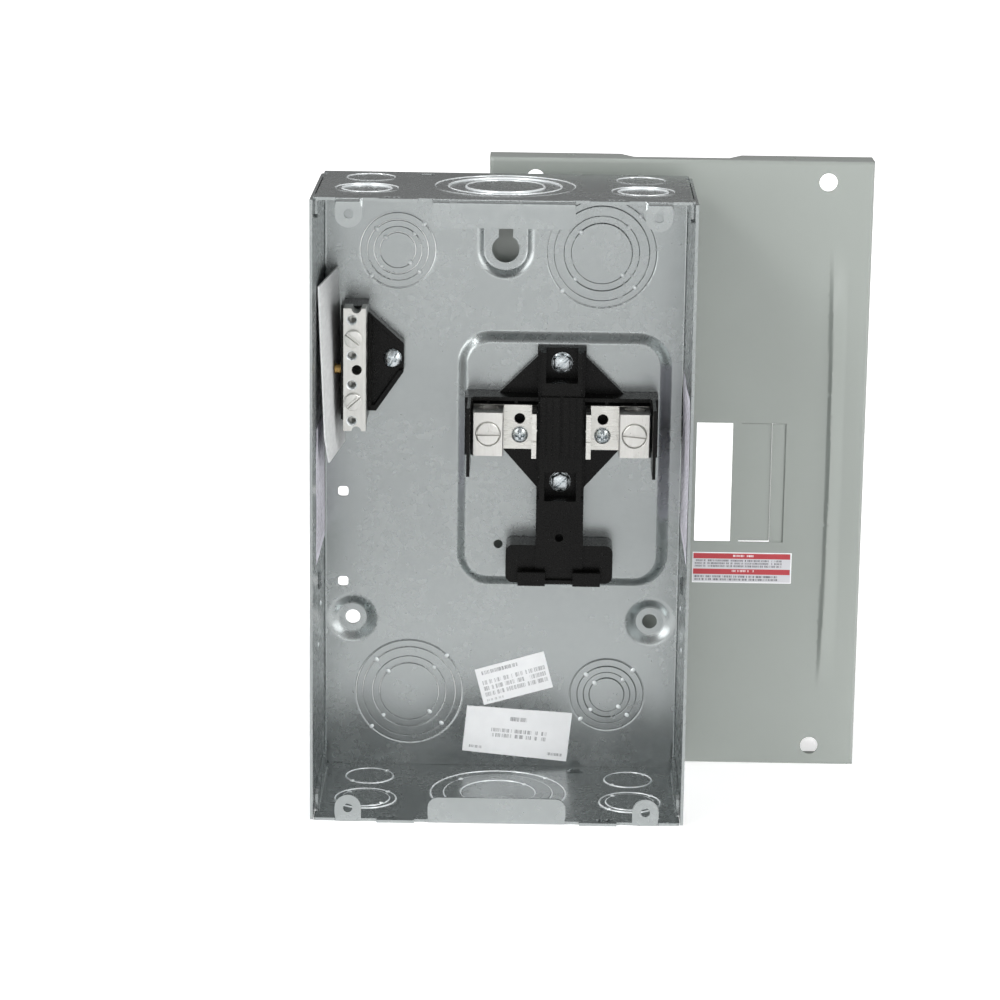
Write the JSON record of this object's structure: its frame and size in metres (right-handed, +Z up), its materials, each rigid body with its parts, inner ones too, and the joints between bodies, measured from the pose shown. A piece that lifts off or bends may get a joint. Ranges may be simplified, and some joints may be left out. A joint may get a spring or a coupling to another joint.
{
  "type": "residential load center",
  "caption": "Small open steel load center with main lugs, stabs, neutral bar and knockouts, and its flat painted cover standing behind it.",
  "frame": {"origin": "centre of the underside of the box's bottom end wall, halfway between its front and back planes", "axes": "+X to the right seen from the open front, +Y from the open front to the back wall, +Z up"},
  "size_m": [0.2537, 0.1123, 0.2905],
  "materials": {
    "galvanised_steel": "galvanised sheet, soft sheen",
    "black_moulding": "moulded, semi-matt",
    "bar_metal": "satin, sawn ends",
    "bus_metal": "tin-plated, satin",
    "lug_metal": "tin-plated, satin",
    "zinc_plate": "bright zinc",
    "brass": "turned",
    "fibre": "hard pressed fibre, matt",
    "label_paper": "printed, matt",
    "cover_paint": "baked enamel, low sheen"
  },
  "bodies": {
    "enclosure": {"enclosure_wrap": "galvanised_steel", "end_wall_bottom": "galvanised_steel", "end_wall_top": "galvanised_steel", "interior_base": "black_moulding", "neutral_insulator": "black_moulding", "neutral_bar": "bar_metal", "bus_left": "bus_metal", "bus_right": "bus_metal", "lug_left": "lug_metal", "lug_right": "lug_metal", "neutral_mount_screw": "zinc_plate", "base_screws": "zinc_plate", "bus_screws": "zinc_plate", "bonding_screw": "brass", "fibre_sheet": "fibre", "label_back_upper": "label_paper", "label_back_lower": "label_paper", "label_side_left": "label_paper", "label_side_right": "label_paper", "knockout_side_left": "galvanised_steel", "knockout_side_right": "galvanised_steel", "knockout_back_upper_left": "galvanised_steel", "knockout_back_upper_right": "galvanised_steel", "knockout_back_lower_left": "galvanised_steel", "knockout_back_lower_right": "galvanised_steel", "knockout_bottom_centre": "galvanised_steel", "knockouts_bottom_small": "galvanised_steel", "knockout_top_centre": "galvanised_steel", "knockouts_top_small": "galvanised_steel"},
    "cover": {"cover": "cover_paint", "cover_label": "label_paper", "twistout_flap": "cover_paint", "twistout_strip_left": "cover_paint", "twistout_strip_right": "cover_paint"},
    "lug_screw_left": {"lug_screw_left": "lug_metal"},
    "lug_screw_right": {"lug_screw_right": "lug_metal"},
    "neutral_screw_upper": {"neutral_screw_upper": "zinc_plate"},
    "neutral_screw_lower": {"neutral_screw_lower": "zinc_plate"}
  },
  "joints": [
    {"name": "cover_lift", "type": "slide", "parent": "enclosure", "child": "cover", "axis": [0, 0, 1], "range_m": [0, 0.3]},
    {"name": "lug_screw_left_travel", "type": "slide", "parent": "enclosure", "child": "lug_screw_left", "axis": [0, 1, 0], "range_m": [-0.003, 0.0095]},
    {"name": "lug_screw_right_travel", "type": "slide", "parent": "enclosure", "child": "lug_screw_right", "axis": [0, 1, 0], "range_m": [-0.003, 0.0095]},
    {"name": "neutral_screw_upper_travel", "type": "slide", "parent": "enclosure", "child": "neutral_screw_upper", "axis": [0, -1, 0], "range_m": [0, 0.006]},
    {"name": "neutral_screw_lower_travel", "type": "slide", "parent": "enclosure", "child": "neutral_screw_lower", "axis": [0, -1, 0], "range_m": [0, 0.006]}
  ]
}
